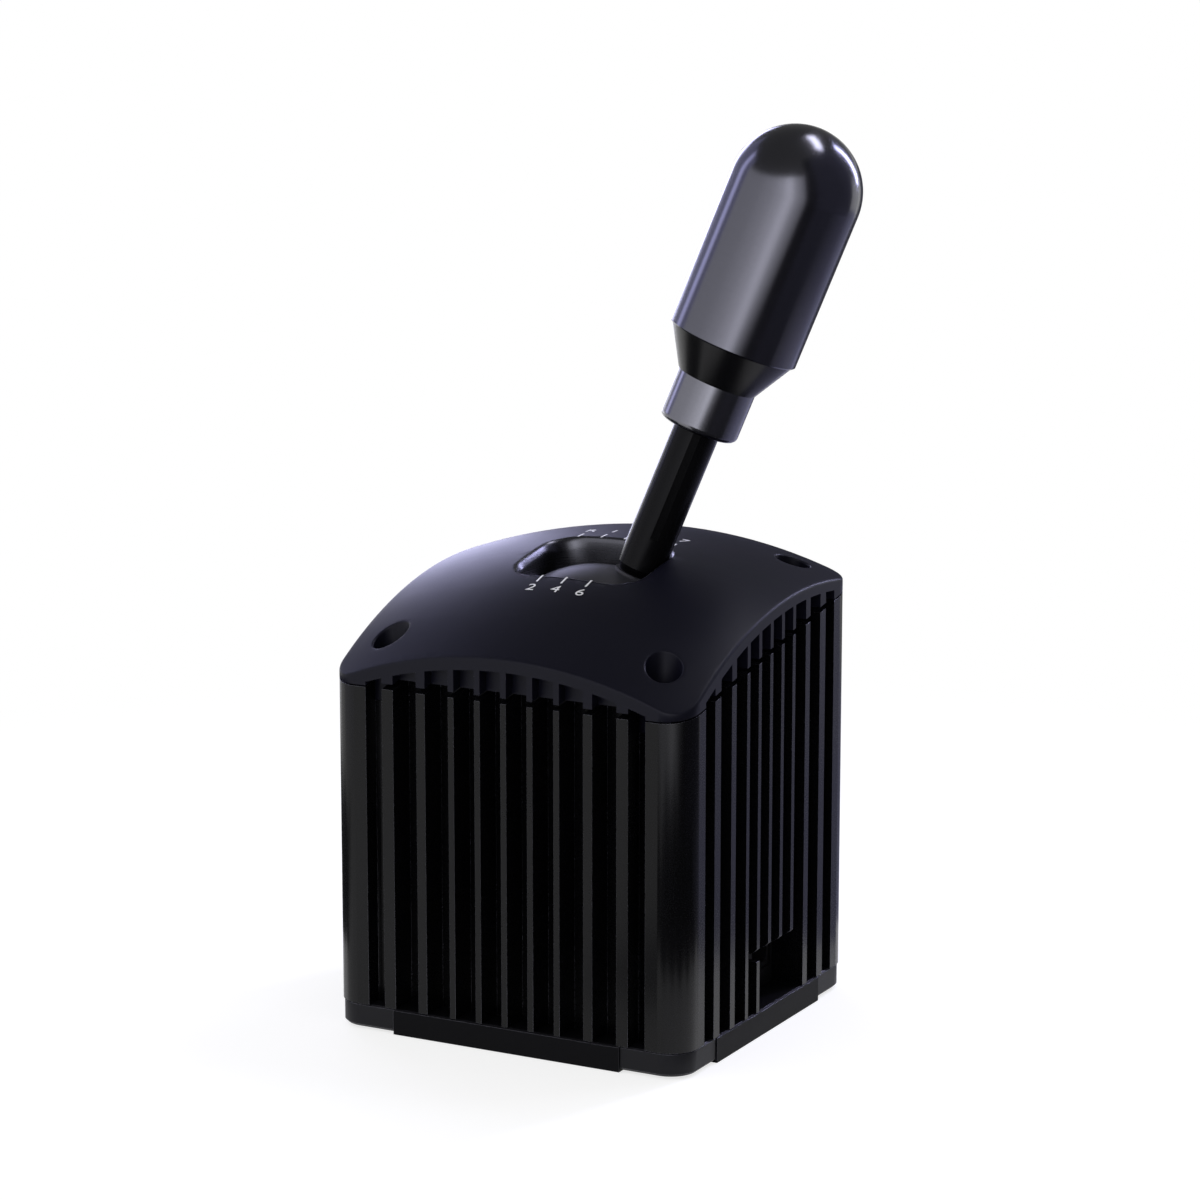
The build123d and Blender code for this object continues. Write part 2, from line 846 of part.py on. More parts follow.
def gate_screws():
    """Four button-head screws through the frame plates into the gate plate."""
    screw = rod(gate_head_radius, 0, gate_head_height) + rod(gate_screw_radius, -gate_screw_length, 0)
    return Part() + at_gate_screws(Pos(0, frame_back, 0) * ALONG_Y * screw)


def bearing(outer, inner, low, high):
    """Ball bearing drawn as one ring, with the shields set back between its races."""
    race = ring(outer, inner, low, high)
    cover = ring(outer - bearing_race, inner + bearing_race, 0, bearing_groove)
    return race - [Pos(0, 0, low) * cover, Pos(0, 0, high - bearing_groove) * cover]


def select_bearing(end):
    """Bearing in one frame plate; end is -1 in front and 1 at the back."""
    low, high = sorted((end * frame_face, end * frame_back))
    return PIVOT * ALONG_Y * bearing(
        select_bearing_radius, select_shaft_radius + running_gap, low, high
    )


def select_shaft(end):
    """Stub shaft pressed into the cradle; the rear one carries the magnet in its end."""
    tip = frame_back + shaft_end_gap
    shaft = rod(select_shaft_radius, cradle_window_y, tip)
    shaft += rod(shaft_collar_radius, cradle_half_y, cradle_half_y + shaft_collar_length)
    shaft = ALONG_Y * shaft
    if end < 0:
        return CRADLE * shaft.mirror(Plane.XZ)
    return CRADLE * (shaft - ALONG_Y * rod(magnet_radius, tip - magnet_length, tip))


def select_magnet():
    """Round magnet in the end of the rear select shaft."""
    tip = frame_back + shaft_end_gap
    return CRADLE * ALONG_Y * rod(magnet_radius, tip - magnet_length, tip)


def select_sensor_board():
    """Small board that reads the select magnet."""
    low = sensor_seat()
    board = block(-sensor_half, sensor_half, low, low + sensor_board, -sensor_half, sensor_half)
    hole = ALONG_Y * rod(sensor_screw_radius + bore_gap, low, low + sensor_board)
    return PIVOT * board - at_sensor_bosses(hole)


def select_sensor_screws():
    """Two screws of the select sensor board, on one diagonal."""
    face = sensor_seat() + sensor_board
    head = rod(sensor_head_radius, face, face + sensor_head_height)
    shank = rod(sensor_screw_radius, face - sensor_board, face)
    places = at_sensor_bosses(ALONG_Y * (head + shank))
    return Part() + [places[0], places[3]]


def select_bumper(side):
    """Rubber stop on the front frame plate, square to the cradle at the end of its swing."""
    x0, x1 = sorted((side * bumper_low_x, side * bumper_high_x))
    top = -cradle_half_z - stop_gap
    stop = block(x0, x1, -frame_face, -frame_face + bumper_reach, top - bumper_thickness, top)
    return PIVOT * Rot(0, side * select_rest, 0) * stop


def centering_spring():
    """Torsion spring round the front select shaft."""
    low = cradle_half_y + shaft_collar_length
    spring = coil(spring_coil_radius, spring_wire_radius, low + stop_gap, frame_face, spring_turns)
    return PIVOT * Rot(90, 0, 0) * spring


def cradle():
    """Ring that swings about the select axis and carries the shift axle."""
    body = rounded_prism(
        2 * cradle_half_x, 2 * cradle_half_y, cradle_corner, -cradle_half_z, cradle_half_z
    )
    body -= rounded_prism(
        2 * cradle_window_x, 2 * cradle_window_y, cradle_corner / 2, -cradle_half_z, cradle_half_z
    )
    body -= ALONG_Y * rod(select_shaft_radius, -cradle_half_y, cradle_half_y)
    body -= ALONG_X * rod(cradle_bore_radius, -cradle_half_x, cradle_half_x)
    seat = cradle_half_x - shift_bearing_width
    body -= [ALONG_X * rod(shift_bearing_radius, *sorted((s * seat, s * cradle_half_x))) for s in (-1, 1)]
    post = ALONG_X * rod(sensor_boss_radius, -shift_board_face(), -cradle_half_x)
    body += at_shift_posts(post)
    return CRADLE * body


def shift_board_face():
    """Distance of the shift sensor board's inner face from the pivot."""
    return axle_left + magnet_length + shift_board_gap


def at_shift_posts(piece):
    """Copies of a piece on the two posts of the shift sensor board."""
    y = shift_board_half_y - sensor_boss_radius
    return [Pos(0, side * y, 0) * piece for side in (-1, 1)]


def shift_bearing(side):
    """Bearing of the shift axle in one side of the cradle."""
    low, high = sorted((side * (cradle_half_x - shift_bearing_width), side * cradle_half_x))
    return CRADLE * ALONG_X * bearing(shift_bearing_radius, axle_radius + running_gap, low, high)


def shift_sensor_board():
    """Small board that reads the shift magnet."""
    face = -shift_board_face()
    board = block(
        face - sensor_board, face, -shift_board_half_y, shift_board_half_y, -cradle_half_z, cradle_half_z
    )
    hole = ALONG_X * rod(sensor_screw_radius + bore_gap, face - sensor_board, face)
    return CRADLE * (board - at_shift_posts(hole))


def shift_sensor_screws():
    """Two screws of the shift sensor board."""
    face = -shift_board_face() - sensor_board
    head = rod(sensor_head_radius, face - sensor_head_height, face)
    shank = rod(sensor_screw_radius, face, face + sensor_board)
    return CRADLE * (Part() + at_shift_posts(ALONG_X * (head + shank)))


def shift_axle():
    """Axle of the stick, through hub, cradle and detent cam."""
    return STICK * ALONG_X * rod(axle_radius, -axle_left, axle_right)


def shift_magnet():
    """Round magnet on the left end of the shift axle."""
    return STICK * ALONG_X * rod(magnet_radius, -axle_left - magnet_length, -axle_left)


def axle_spacers():
    """Two spacers between hub and cradle."""
    far = cradle_window_x - spacer_gap
    right = ALONG_X * ring(spacer_radius, axle_radius, hub_half_x, far)
    return STICK * (Part() + [right, right.mirror(Plane.YZ)])


def axle_clip():
    """Spring clip outside the detent cam, open on one side."""
    clip = ring(clip_radius, axle_radius, cam_far, cam_far + clip_thickness)
    gap = block(0, clip_radius, -axle_radius / 2, axle_radius / 2, cam_far, cam_far + clip_thickness)
    return STICK * ALONG_X * (clip - gap)


def pivot_hub():
    """Block that joins axle, stick and lower lever."""
    hub = Box(2 * hub_half_x, 2 * hub_half_y, 2 * hub_half_z)
    hub = chamfer(hub.edges().filter_by(Axis.X), hub_chamfer)
    hub -= ALONG_X * rod(axle_radius, -hub_half_x, hub_half_x)
    hub -= rod(neck_radius, tenon_bottom, hub_half_z)
    return STICK * (hub - rod(lever_radius, -hub_half_z, -tenon_bottom))


def detent_cam():
    """Cam on the axle with a notch for each row and one for neutral."""
    sector = rod(cam_radius, cam_near, cam_far) & cam_wedge()
    cam = ALONG_X * (sector + rod(cam_hub_radius, cam_near, cam_far) - rod(axle_radius, cam_near, cam_far))
    reach = cam_radius + notch_radius - notch_depth
    for turn in (-shift_rest, 0, shift_rest):
        notch = Pos(0, 0, -reach) * ALONG_X * rod(notch_radius, cam_near, cam_far)
        cam -= Rot(turn, 0, 0) * notch
    return STICK * cam


def cam_wedge():
    """Sector of the cam, drawn along its axis; its middle points down once the cam is turned."""
    spread = cam_radius * tan(radians(cam_half_angle + shift_rest))
    wedge = make_face(Polyline((0, 0), (cam_radius, spread), (cam_radius, -spread), (0, 0)))
    return Pos(0, 0, cam_near) * extrude(wedge, amount=cam_width)


def detent_bracket():
    """Bracket on the right of the cradle whose foot guides the detent plunger."""
    near = cradle_half_x
    far = near + bracket_thickness
    plate = block(near, far, -bracket_half_y, bracket_half_y, -cradle_half_z, cradle_half_z)
    plate += block(near, far, -bracket_foot_half_y, bracket_foot_half_y, -bracket_foot_low, 0)
    foot = block(
        near, axle_right, -bracket_foot_half_y, bracket_foot_half_y, -bracket_foot_low, -bracket_foot_top
    )
    bracket = plate + foot - ALONG_X * rod(bracket_hole_radius, near, far)
    bracket -= Pos(cam_middle, 0, 0) * rod(plunger_radius + bore_gap, -bracket_foot_low, -bracket_foot_top)
    bracket -= at_bracket_screws(ALONG_X * rod(bracket_screw_radius + bore_gap, near, far))
    return CRADLE * bracket


def at_bracket_screws(piece):
    """Copies of a piece on the two screw axes of the bracket."""
    return [Pos(0, side * bracket_screw_y, bracket_screw_z) * piece for side in (-1, 1)]


def cradle_with_bores():
    """The cradle with the bores of the bracket screws."""
    low = cradle_half_x + bracket_thickness - bracket_screw_length
    bores = at_bracket_screws(ALONG_X * rod(bracket_screw_radius + bore_gap, low, cradle_half_x))
    return cradle() - [CRADLE * bore for bore in bores]


def bracket_screws():
    """Two thin-head screws of the detent bracket."""
    face = cradle_half_x + bracket_thickness
    screw = rod(bracket_head_radius, face, face + bracket_head_height)
    screw += rod(bracket_screw_radius, face - bracket_screw_length, face)
    return CRADLE * (Part() + at_bracket_screws(ALONG_X * screw))


def detent_plunger():
    """Plunger with a round nose that faces the cam."""
    nose_centre = -plunger_top - plunger_nose_radius
    plunger = rod(plunger_radius, -plunger_bottom, -plunger_shoulder)
    plunger += rod(plunger_nose_radius, -plunger_shoulder, nose_centre)
    plunger += Pos(0, 0, nose_centre) * Sphere(plunger_nose_radius)
    return CRADLE * Pos(cam_middle, 0, 0) * plunger


def detent_spring():
    """Compression spring under the detent plunger."""
    radius = plunger_radius - detent_wire_radius - bore_gap
    spring = coil(radius, detent_wire_radius, -adjuster_top, -plunger_bottom, detent_turns)
    return CRADLE * Pos(cam_middle, 0, 0) * spring


def detent_adjuster():
    """Grub screw that sets the force of the detent spring."""
    screw = rod(plunger_radius, -bracket_foot_low, -adjuster_top)
    key = extrude(RegularPolygon(plunger_radius / 2, 6, major_radius=False), amount=adjuster_length / 2)
    return CRADLE * Pos(cam_middle, 0, 0) * (screw - Pos(0, 0, -bracket_foot_low) * key)


def stick_shaft():
    """The visible stick with its groove, the neck below it and the threaded end above it."""
    points = [
        (0, tenon_bottom),
        (neck_radius, tenon_bottom),
        (neck_radius, stick_foot),
        (stick_foot_radius, stick_foot),
        (stick_radius, stick_foot + stick_foot_bevel),
        (stick_radius, stick_shoulder),
        (stick_thread_radius, stick_shoulder),
        (stick_thread_radius, stick_top),
        (0, stick_top),
    ]
    shaft = revolve(Plane.XZ * make_face(Polyline(*points, close=True)), axis=Axis.Z)
    outer = stick_radius + overrun
    floor = stick_radius - groove_depth
    groove = block(
        -groove_width / 2, groove_width / 2, -outer, -floor, groove_start, stick_shoulder + overrun
    )
    return STICK * (shaft - Rot(0, 0, groove_turn) * groove)


def dust_shield():
    """Round shield about the pivot that closes the gate opening under the stick."""
    inner = shield_radius - shield_thickness
    shell = Sphere(shield_radius) - Sphere(inner)
    rim = shield_radius * cos(radians(shield_half_angle))
    shell &= Pos(0, 0, rim) * Box(blank, blank, blank, align=FLOOR)
    shell += rod(shield_seat_radius, shield_seat_bottom, stick_foot)
    return STICK * (shell - rod(neck_radius, 0, stick_foot + overrun))


def shield_clip():
    """Ring that holds the dust shield up against the foot of the stick."""
    low = shield_seat_bottom - shield_clip_thickness
    return STICK * ring(shield_clip_radius, neck_radius, low, shield_seat_bottom)


def lower_lever():
    """Tube under the hub that guides the gate finger."""
    lever = rod(lever_radius, -lever_end, -tenon_bottom)
    return STICK * (lever - rod(finger_radius + bore_gap, -lever_end, -stick_spring_top))


def gate_finger():
    """Sprung finger with a round tip over the grooves of the gate plate."""
    finger = rod(finger_radius, -finger_tip + finger_radius, -finger_top)
    return STICK * (finger + Pos(0, 0, -finger_tip + finger_radius) * Sphere(finger_radius))


def finger_spring():
    """Compression spring above the gate finger."""
    radius = finger_radius - finger_wire_radius - bore_gap
    spring = coil(radius, finger_wire_radius, -finger_top, -stick_spring_top, finger_turns)
    return STICK * spring


def knob_collar():
    """Collar under the knob, rounded at its lower edge and held by a grub screw."""
    collar = ring(collar_radius, stick_radius, collar_bottom, collar_top)
    edges = collar.edges().filter_by(GeomType.CIRCLE).group_by(Axis.Z)[0].sort_by(SortBy.RADIUS)
    collar = fillet(edges[-1], collar_round)
    collar -= rod(insert_radius, stick_shoulder, collar_top)
    hole = ALONG_Y * rod(collar_screw_radius, 0, collar_radius)
    return STICK * (collar - Pos(0, 0, collar_screw_height) * hole)


def collar_screw():
    """Grub screw of the collar, on its far side."""
    screw = rod(collar_screw_radius, stick_radius, collar_radius - face_gap)
    key = extrude(RegularPolygon(collar_screw_radius / 2, 6, major_radius=False), amount=collar_screw_radius)
    screw -= Pos(0, 0, collar_radius - face_gap - collar_screw_radius) * key
    return STICK * Pos(0, 0, collar_screw_height) * ALONG_Y * screw


def knob_cone():
    """Black cone between collar and grip."""
    cone = Pos(0, 0, collar_top) * Cone(collar_radius, cone_top_radius, cone_top - collar_top, align=FLOOR)
    return STICK * (cone - rod(insert_radius, collar_top, cone_top))


def knob_insert():
    """Threaded sleeve that joins grip, cone and collar to the stick."""
    sleeve = ring(insert_radius, stick_thread_radius, stick_shoulder, insert_top)
    return STICK * sleeve


def knob_grip():
    """Capsule-shaped grip with a hollow core."""
    points = [
        (0, knob_crown + knob_radius),
        (0, knob_core_high),
        (knob_core_radius, knob_core_high),
        (knob_core_radius, knob_core_low),
        (stick_thread_radius, knob_core_low),
        (stick_thread_radius, insert_top),
        (insert_radius, insert_top),
        (insert_radius, knob_rim),
        (knob_radius - knob_rim_chamfer, knob_rim),
        (knob_radius, knob_rim + knob_rim_chamfer),
        (knob_radius, knob_crown),
    ]
    shoulder = (knob_radius * sin(radians(45)), knob_crown + knob_radius * cos(radians(45)))
    crown = ThreePointArc(points[-1], shoulder, points[0])
    face = make_face([Polyline(*points), crown])
    return STICK * revolve(Plane.XZ * face, axis=Axis.Z)


pieces = {
    "housing": housing(),
    "top_cap": top_cap(),
    "cap_screws": cap_screws(),
    "base_plate": base_plate(),
    "base_screws": base_screws(),
    "port_panel": port_panel(),
    "main_board": main_board(),
    "board_screws": board_screws(),
    "frame_front": frame_plate(-1),
    "frame_rear": frame_plate(1),
    "frame_screws": frame_screws(),
    "gate_plate": gate_plate(),
    "gate_screws": gate_screws(),
    "select_bearing_front": select_bearing(-1),
    "select_bearing_rear": select_bearing(1),
    "select_bumper_left": select_bumper(-1),
    "select_bumper_right": select_bumper(1),
    "select_sensor_board": select_sensor_board(),
    "select_sensor_screws": select_sensor_screws(),
    "centering_spring": centering_spring(),
    "cradle": cradle_with_bores(),
    "select_shaft_front": select_shaft(-1),
    "select_shaft_rear": select_shaft(1),
    "select_magnet": select_magnet(),
    "shift_bearing_left": shift_bearing(-1),
    "shift_bearing_right": shift_bearing(1),
    "shift_sensor_board": shift_sensor_board(),
    "shift_sensor_screws": shift_sensor_screws(),
    "detent_bracket": detent_bracket(),
    "bracket_screws": bracket_screws(),
    "detent_spring": detent_spring(),
    "detent_adjuster": detent_adjuster(),
    "detent_plunger": detent_plunger(),
    "shift_axle": shift_axle(),
    "shift_magnet": shift_magnet(),
    "axle_spacers": axle_spacers(),
    "axle_clip": axle_clip(),
    "pivot_hub": pivot_hub(),
    "detent_cam": detent_cam(),
    "stick_shaft": stick_shaft(),
    "dust_shield": dust_shield(),
    "shield_clip": shield_clip(),
    "lower_lever": lower_lever(),
    "finger_spring": finger_spring(),
    "gate_finger": gate_finger(),
    "knob_collar": knob_collar(),
    "collar_screw": collar_screw(),
    "knob_cone": knob_cone(),
    "knob_insert": knob_insert(),
    "knob_grip": knob_grip(),
}
for corner, (side_x, side_y) in CORNERS.items():
    pieces["corner_pad_" + corner] = corner_pad(side_x, side_y)
for place, y in zip(("front", "rear"), socket_places()):
    pieces["data_socket_" + place] = data_socket(y)

os.makedirs("parts", exist_ok=True)
for name, piece in pieces.items():
    export_step(piece, f"parts/{name}.step")
print("pieces written", len(pieces))
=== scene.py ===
"""Looks of a gear shifter for driving games: black ribbed box, domed cap, stick and metal knob.

Lengths are in metres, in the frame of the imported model: Z up, X along the front, Y to the back.
"""

import json
from math import cos, pi, radians, sin, sqrt, tan

import bmesh
import bpy
from mathutils import Matrix, Vector

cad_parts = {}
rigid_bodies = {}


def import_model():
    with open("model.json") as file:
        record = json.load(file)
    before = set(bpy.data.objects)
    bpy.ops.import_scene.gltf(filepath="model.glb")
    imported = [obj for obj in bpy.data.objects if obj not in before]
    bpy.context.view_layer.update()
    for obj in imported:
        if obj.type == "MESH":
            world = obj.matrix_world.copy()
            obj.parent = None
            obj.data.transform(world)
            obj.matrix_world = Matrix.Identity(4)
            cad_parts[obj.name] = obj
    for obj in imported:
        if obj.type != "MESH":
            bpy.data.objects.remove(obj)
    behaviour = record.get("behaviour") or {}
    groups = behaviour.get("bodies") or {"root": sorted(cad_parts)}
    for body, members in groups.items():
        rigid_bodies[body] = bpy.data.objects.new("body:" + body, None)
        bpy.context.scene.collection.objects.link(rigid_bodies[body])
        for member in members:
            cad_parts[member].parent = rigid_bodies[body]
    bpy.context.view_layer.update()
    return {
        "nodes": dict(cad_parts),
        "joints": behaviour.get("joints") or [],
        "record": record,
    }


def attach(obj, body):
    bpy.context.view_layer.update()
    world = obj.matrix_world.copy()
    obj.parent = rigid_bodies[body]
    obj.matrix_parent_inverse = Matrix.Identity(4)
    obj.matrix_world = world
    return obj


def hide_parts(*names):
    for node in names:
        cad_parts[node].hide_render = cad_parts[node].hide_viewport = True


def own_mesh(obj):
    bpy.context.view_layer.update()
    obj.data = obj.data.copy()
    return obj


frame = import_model()

MM = 0.001
nodes = frame["nodes"]
joints = {joint["name"]: joint for joint in frame["joints"]}
pivot = Vector(joints["select"]["pos_m"])

# Directions of tool lines: upright parts, and parts turned round the left and right swing
UP = Vector((0, 0, 1))
ALONG_SELECT = Vector((0, 1, 0))

# The camera stands where the photograph was taken from, found by fitting the box to its corners
CAMERA_PLACE = (0.58827, -1.09674, 0.39144)
CAMERA_AZIMUTH = 28.126
CAMERA_DOWN = 11.977
CAMERA_LENS = 125.88
SENSOR_WIDTH = 36.0

# Lean of the stick at rest, in seventh gear
SELECT_LEAN = radians(20)
SHIFT_LEAN = radians(9)

# Crown of the cap: a barrel along X, tilted with the seam. The passes find a place on the tilted crown
CAP_TILT = radians(10.3)
CROWN_RISE = 23.5 * MM
CROWN_SETBACK = 2.4 * MM
CROWN_RADIUS_X = 170.0 * MM
CROWN_RADIUS_Y = 157.0 * MM
SEAM_OVER_PIVOT = 4.3 * MM
HALF_DEPTH = 56.5 * MM
CROWN_PASSES = 12

# Gear marks printed on the cap. The far row is a little closer set, and stands a little to the right
COLUMN_STEP = 8.3 * MM
NEAR_TICK_ENDS = (-20.9 * MM, -17.0 * MM)
FAR_TICK_ENDS = (17.0 * MM, 20.9 * MM)
FAR_COLUMN_STEP = 8.0 * MM
FAR_SHIFT = 1.3 * MM
NEAR_NUMBERS_Y = -24.4 * MM
FAR_NUMBERS_Y = 25.8 * MM
NUMBER_HEIGHT = 4.9 * MM
NUMBER_WIDENING = 1.25
TICK_WIDTH = 0.62 * MM
PRINT_LIFT = 0.02 * MM
PRINT_THICKNESS = 0.05 * MM
PRINT_CUTS = 2
NEAR_NUMBERS = {"2": -1, "4": 0, "6": 1}
FAR_NUMBERS = {"R": -2, "1": -1, "3": 0, "5": 1, "7": 2}


def crown_point(x, y):
    """Point of the crowned top face above a place in plan."""
    up = Vector((0, -sin(CAP_TILT), cos(CAP_TILT)))
    back = Vector((0, cos(CAP_TILT), sin(CAP_TILT)))
    seam = Vector((0, 0, pivot.z + SEAM_OVER_PIVOT + HALF_DEPTH * tan(CAP_TILT)))
    side_drop = CROWN_RADIUS_X - sqrt(CROWN_RADIUS_X**2 - x**2)
    reach = CROWN_RADIUS_Y - side_drop
    along = y
    for _ in range(CROWN_PASSES):
        height = CROWN_RISE - CROWN_RADIUS_Y + sqrt(reach**2 - (along - CROWN_SETBACK) ** 2)
        point = seam + back * along + up * height
        along += (y - point.y) / cos(CAP_TILT)
    return Vector((x, point.y, point.z))


# Helpers for meshes and node trees

def mesh_object(name, bm, material):
    """An object made from a bmesh, with its material."""
    data = bpy.data.meshes.new(name)
    bm.normal_update()
    bm.to_mesh(data)
    bm.free()
    data.materials.append(material)
    made = bpy.data.objects.new(name, data)
    bpy.context.scene.collection.objects.link(made)
    return made


def add_piece(name, bm, material):
    """A mesh piece on the fixed body."""
    piece = mesh_object(name, bm, material)
    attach(piece, "root")


def new_node(tree, kind, **values):
    """A shader node; keys with an underscore in front are settings, the others are sockets."""
    node = tree.nodes.new(kind)
    for key, value in values.items():
        if key.startswith("_"):
            setattr(node, key[1:], value)
        else:
            node.inputs[key.replace("_", " ")].default_value = value
    return node


def join(tree, source, target):
    """A link from one socket to another."""
    tree.links.new(source, target)


def maths(tree, operation, first, second=0.0):
    """A Math node of two values, each a number or a socket; returns its output."""
    node = new_node(tree, "ShaderNodeMath", _operation=operation)
    for socket, value in zip(node.inputs, (first, second)):
        if isinstance(value, (int, float)):
            socket.default_value = value
        else:
            join(tree, value, socket)
    return node.outputs[0]


def ramp(tree, value, from_low, from_high, to_low, to_high):
    """A smooth ramp of a value from one span to another; returns its output."""
    node = new_node(tree, "ShaderNodeMapRange", _interpolation_type="SMOOTHSTEP", From_Min=from_low,
                    From_Max=from_high, To_Min=to_low, To_Max=to_high)
    join(tree, value, node.inputs["Value"])
    return node.outputs[0]


def new_group(name, inputs, outputs):
    """A shader node group with named inputs and outputs; returns its tree and two end nodes."""
    tree = bpy.data.node_groups.new(name, "ShaderNodeTree")
    for label, kind, value in inputs:
        socket = tree.interface.new_socket(label, in_out="INPUT", socket_type=kind)
        socket.default_value = value
    for label, kind in outputs:
        tree.interface.new_socket(label, in_out="OUTPUT", socket_type=kind)
    return tree, tree.nodes.new("NodeGroupInput"), tree.nodes.new("NodeGroupOutput")


FLOAT = "NodeSocketFloat"
COLOR = "NodeSocketColor"
VECTOR = "NodeSocketVector"

# Middle value of a noise; share of the tool lines over the flecks, scale of the flecks, swing of the shade
NOISE_MIDDLE = 0.5
LINE_SHARE = 0.7
FLECK_SCALE = 900.0
SHADE_SWING = 0.35


def powder_group():
    """Grains of powder coat, cast metal or moulded plastic, with a slow cloud over them."""
    inputs = [
        ("Color", COLOR, (0.02, 0.02, 0.02, 1)),
        ("Grain Scale", FLOAT, 2500.0),
        ("Cloud Scale", FLOAT, 40.0),
        ("Cloud Amount", FLOAT, 0.15),
        ("Roughness", FLOAT, 0.5),
        ("Roughness Spread", FLOAT, 0.08),
    ]
    outputs = [("Color", COLOR), ("Roughness", FLOAT), ("Height", FLOAT)]
    tree, start, end = new_group("powder_grain", inputs, outputs)
    place = new_node(tree, "ShaderNodeTexCoord").outputs["Object"]
    grain = new_node(tree, "ShaderNodeTexNoise", Detail=2.0, Roughness=0.6)
    cloud = new_node(tree, "ShaderNodeTexNoise", Detail=4.0, Roughness=0.55)
    for noise, scale in ((grain, "Grain Scale"), (cloud, "Cloud Scale")):
        join(tree, place, noise.inputs["Vector"])
        join(tree, start.outputs[scale], noise.inputs["Scale"])
    swing = maths(tree, "SUBTRACT", cloud.outputs[0], NOISE_MIDDLE)
    gain = maths(tree, "ADD", maths(tree, "MULTIPLY", swing, start.outputs["Cloud Amount"]), 1.0)
    shade = new_node(tree, "ShaderNodeVectorMath", _operation="SCALE")
    join(tree, start.outputs["Color"], shade.inputs[0])
    join(tree, gain, shade.inputs["Scale"])
    both = maths(tree, "ADD", swing, maths(tree, "SUBTRACT", grain.outputs[0], NOISE_MIDDLE))
    spread = maths(tree, "MULTIPLY", both, start.outputs["Roughness Spread"])
    join(tree, shade.outputs[0], end.inputs["Color"])
    join(tree, maths(tree, "ADD", start.outputs["Roughness"], spread), end.inputs["Roughness"])
    join(tree, grain.outputs[0], end.inputs["Height"])
    return tree


def turned_group():
    """Fine tool lines round an axis, as a lathe or a brush leaves them."""
    inputs = [
        ("Color", COLOR, (0.1, 0.1, 0.1, 1)),
        ("Axis Point", VECTOR, (0.0, 0.0, 0.0)),
        ("Axis", VECTOR, (0.0, 0.0, 1.0)),
        ("Line Scale", FLOAT, 3000.0),
        ("Roughness", FLOAT, 0.3),
        ("Roughness Spread", FLOAT, 0.1),
    ]
    outputs = [("Color", COLOR), ("Roughness", FLOAT), ("Height", FLOAT)]
    tree, start, end = new_group("turned_lines", inputs, outputs)
    place = new_node(tree, "ShaderNodeTexCoord").outputs["Object"]
    away = new_node(tree, "ShaderNodeVectorMath", _operation="SUBTRACT")
    join(tree, place, away.inputs[0])
    join(tree, start.outputs["Axis Point"], away.inputs[1])
    along = new_node(tree, "ShaderNodeVectorMath", _operation="DOT_PRODUCT")
    join(tree, away.outputs[0], along.inputs[0])
    join(tree, start.outputs["Axis"], along.inputs[1])
    lines = new_node(tree, "ShaderNodeTexNoise", _noise_dimensions="1D", Detail=3.0, Roughness=0.7)
    join(tree, along.outputs["Value"], lines.inputs["W"])
    join(tree, start.outputs["Line Scale"], lines.inputs["Scale"])
    flecks = new_node(tree, "ShaderNodeTexNoise", Scale=FLECK_SCALE, Detail=3.0, Roughness=0.7)
    join(tree, place, flecks.inputs["Vector"])
    blend = maths(tree, "ADD", maths(tree, "MULTIPLY", lines.outputs[0], LINE_SHARE),
                  maths(tree, "MULTIPLY", flecks.outputs[0], 1 - LINE_SHARE))
    swing = maths(tree, "SUBTRACT", blend, NOISE_MIDDLE)
    spread = maths(tree, "MULTIPLY", swing, start.outputs["Roughness Spread"])
    gain = maths(tree, "ADD", maths(tree, "MULTIPLY", swing, SHADE_SWING), 1.0)
    shade = new_node(tree, "ShaderNodeVectorMath", _operation="SCALE")
    join(tree, start.outputs["Color"], shade.inputs[0])
    join(tree, gain, shade.inputs["Scale"])
    join(tree, shade.outputs[0], end.inputs["Color"])
    join(tree, maths(tree, "ADD", start.outputs["Roughness"], spread), end.inputs["Roughness"])
    join(tree, blend, end.inputs["Height"])
    return tree


POWDER = powder_group()
TURNED = turned_group()


def new_material(name):
    """An empty material with a Principled surface; returns material, tree and surface node."""
    material = bpy.data.materials.new(name)
    material.use_nodes = True
    tree = material.node_tree
    tree.nodes.clear()
    surface = tree.nodes.new("ShaderNodeBsdfPrincipled")
    output = tree.nodes.new("ShaderNodeOutputMaterial")
    join(tree, surface.outputs[0], output.inputs["Surface"])
    return material, tree, surface


def use_group(tree, surface, group, depth, **values):
    """Places a finish group and joins its colour, roughness and height to the surface."""
    node = tree.nodes.new("ShaderNodeGroup")
    node.node_tree = group
    for key, value in values.items():
        node.inputs[key.replace("_", " ")].default_value = value
    bump = new_node(tree, "ShaderNodeBump", Strength=1.0, Distance=depth)
    join(tree, node.outputs["Color"], surface.inputs["Base Color"])
    join(tree, node.outputs["Roughness"], surface.inputs["Roughness"])
    join(tree, node.outputs["Height"], bump.inputs["Height"])
    join(tree, bump.outputs["Normal"], surface.inputs["Normal"])


def coated(name, color, roughness, specular=0.5, grain=2500.0, depth=0.004 * MM, cloud=0.15,
           metallic=0.0):
    """Paint, powder coat, printing ink or plastic with a grain."""
    material, tree, surface = new_material(name)
    surface.inputs["Metallic"].default_value = metallic
    surface.inputs["Specular IOR Level"].default_value = specular
    use_group(tree, surface, POWDER, depth, Color=(*color, 1), Grain_Scale=grain,
              Cloud_Amount=cloud, Roughness=roughness)
    return material


def stick_axis():
    """Direction of the stick at rest."""
    lean = Matrix.Rotation(SELECT_LEAN, 3, "Y") @ Matrix.Rotation(-SHIFT_LEAN, 3, "X")
    return lean @ UP


